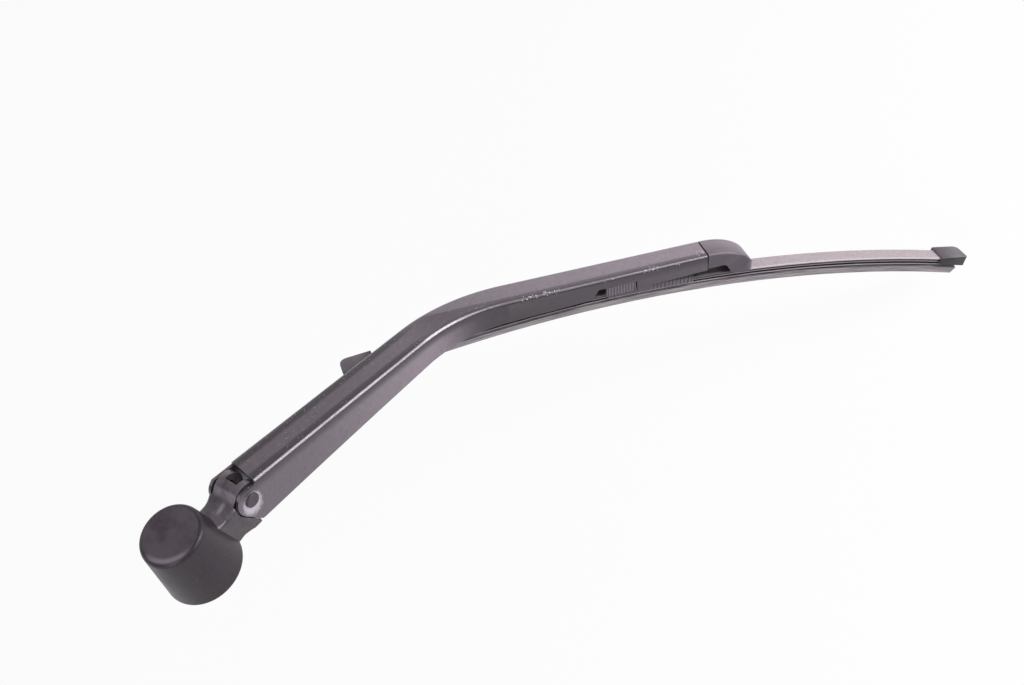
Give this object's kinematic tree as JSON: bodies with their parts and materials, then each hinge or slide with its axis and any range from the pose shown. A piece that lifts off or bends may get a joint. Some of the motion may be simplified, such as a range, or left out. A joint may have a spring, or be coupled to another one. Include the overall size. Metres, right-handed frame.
{
  "type": "rear wiper arm",
  "caption": "Rear window wiper: cranked pressed-steel arm hinged on a spindle head under a round cover, with a bowed flat blade that rocks on a moulded adapter at its tip.",
  "frame": {"origin": "centre of the spindle seat on the head's underside", "axes": "+Z along the spindle away from the vehicle, +X from the spindle towards the hinge, +Y to the far side of the arm"},
  "size_m": [0.3839, 0.2009, 0.1965],
  "materials": {
    "arm_paint": "satin",
    "head_paint": "satin",
    "cover_plastic": "satin",
    "bush_brass": "satin",
    "spring_steel": "satin",
    "bright_steel": "satin",
    "adapter_plastic": "matte",
    "bracket_plastic": "matte",
    "rail_steel": "satin",
    "rubber": "matte",
    "cap_plastic": "matte"
  },
  "bodies": {
    "head": {"arm_head": "head_paint", "spring_pin": "bright_steel", "hinge_bush_near": "bush_brass", "hinge_bush_far": "bush_brass"},
    "cover": {"head_cover": "cover_plastic"},
    "arm": {"arm_channel": "arm_paint", "hinge_rivet": "bright_steel", "spring_anchor": "bright_steel", "blade_adapter": "adapter_plastic", "pivot_pin": "bright_steel"},
    "link": {"spring_link": "bright_steel", "tension_spring": "spring_steel"},
    "blade": {"blade_bracket": "bracket_plastic", "rail_near": "rail_steel", "rail_far": "rail_steel", "wiper_rubber": "rubber", "end_cap_inner": "cap_plastic", "end_cap_outer": "cap_plastic"}
  },
  "joints": [
    {"name": "cover_pull", "type": "slide", "parent": "head", "child": "cover", "axis": [0, 0, 1], "range_m": [0, 0.04]},
    {"name": "arm_lift", "type": "hinge", "parent": "head", "child": "arm", "pos_m": [0.0313, 0, 0.0131], "axis": [0, -1, 0], "range_deg": [0, 90], "deforming": ["tension_spring"]},
    {"name": "link_swing", "type": "hinge", "parent": "head", "child": "link", "pos_m": [0.02848, 0, 0.00712], "axis": [0, -1, 0], "range_deg": [0, 86]},
    {"name": "blade_rock", "type": "hinge", "parent": "arm", "child": "blade", "pos_m": [0.24069, -0.05853, -0.06796], "axis": [0.5312, 0.8202, -0.2125], "range_deg": [-5, 1]}
  ],
  "couplings": [
    {"joint": "link_swing", "follows": "arm_lift", "ratio": 0.9545}
  ]
}
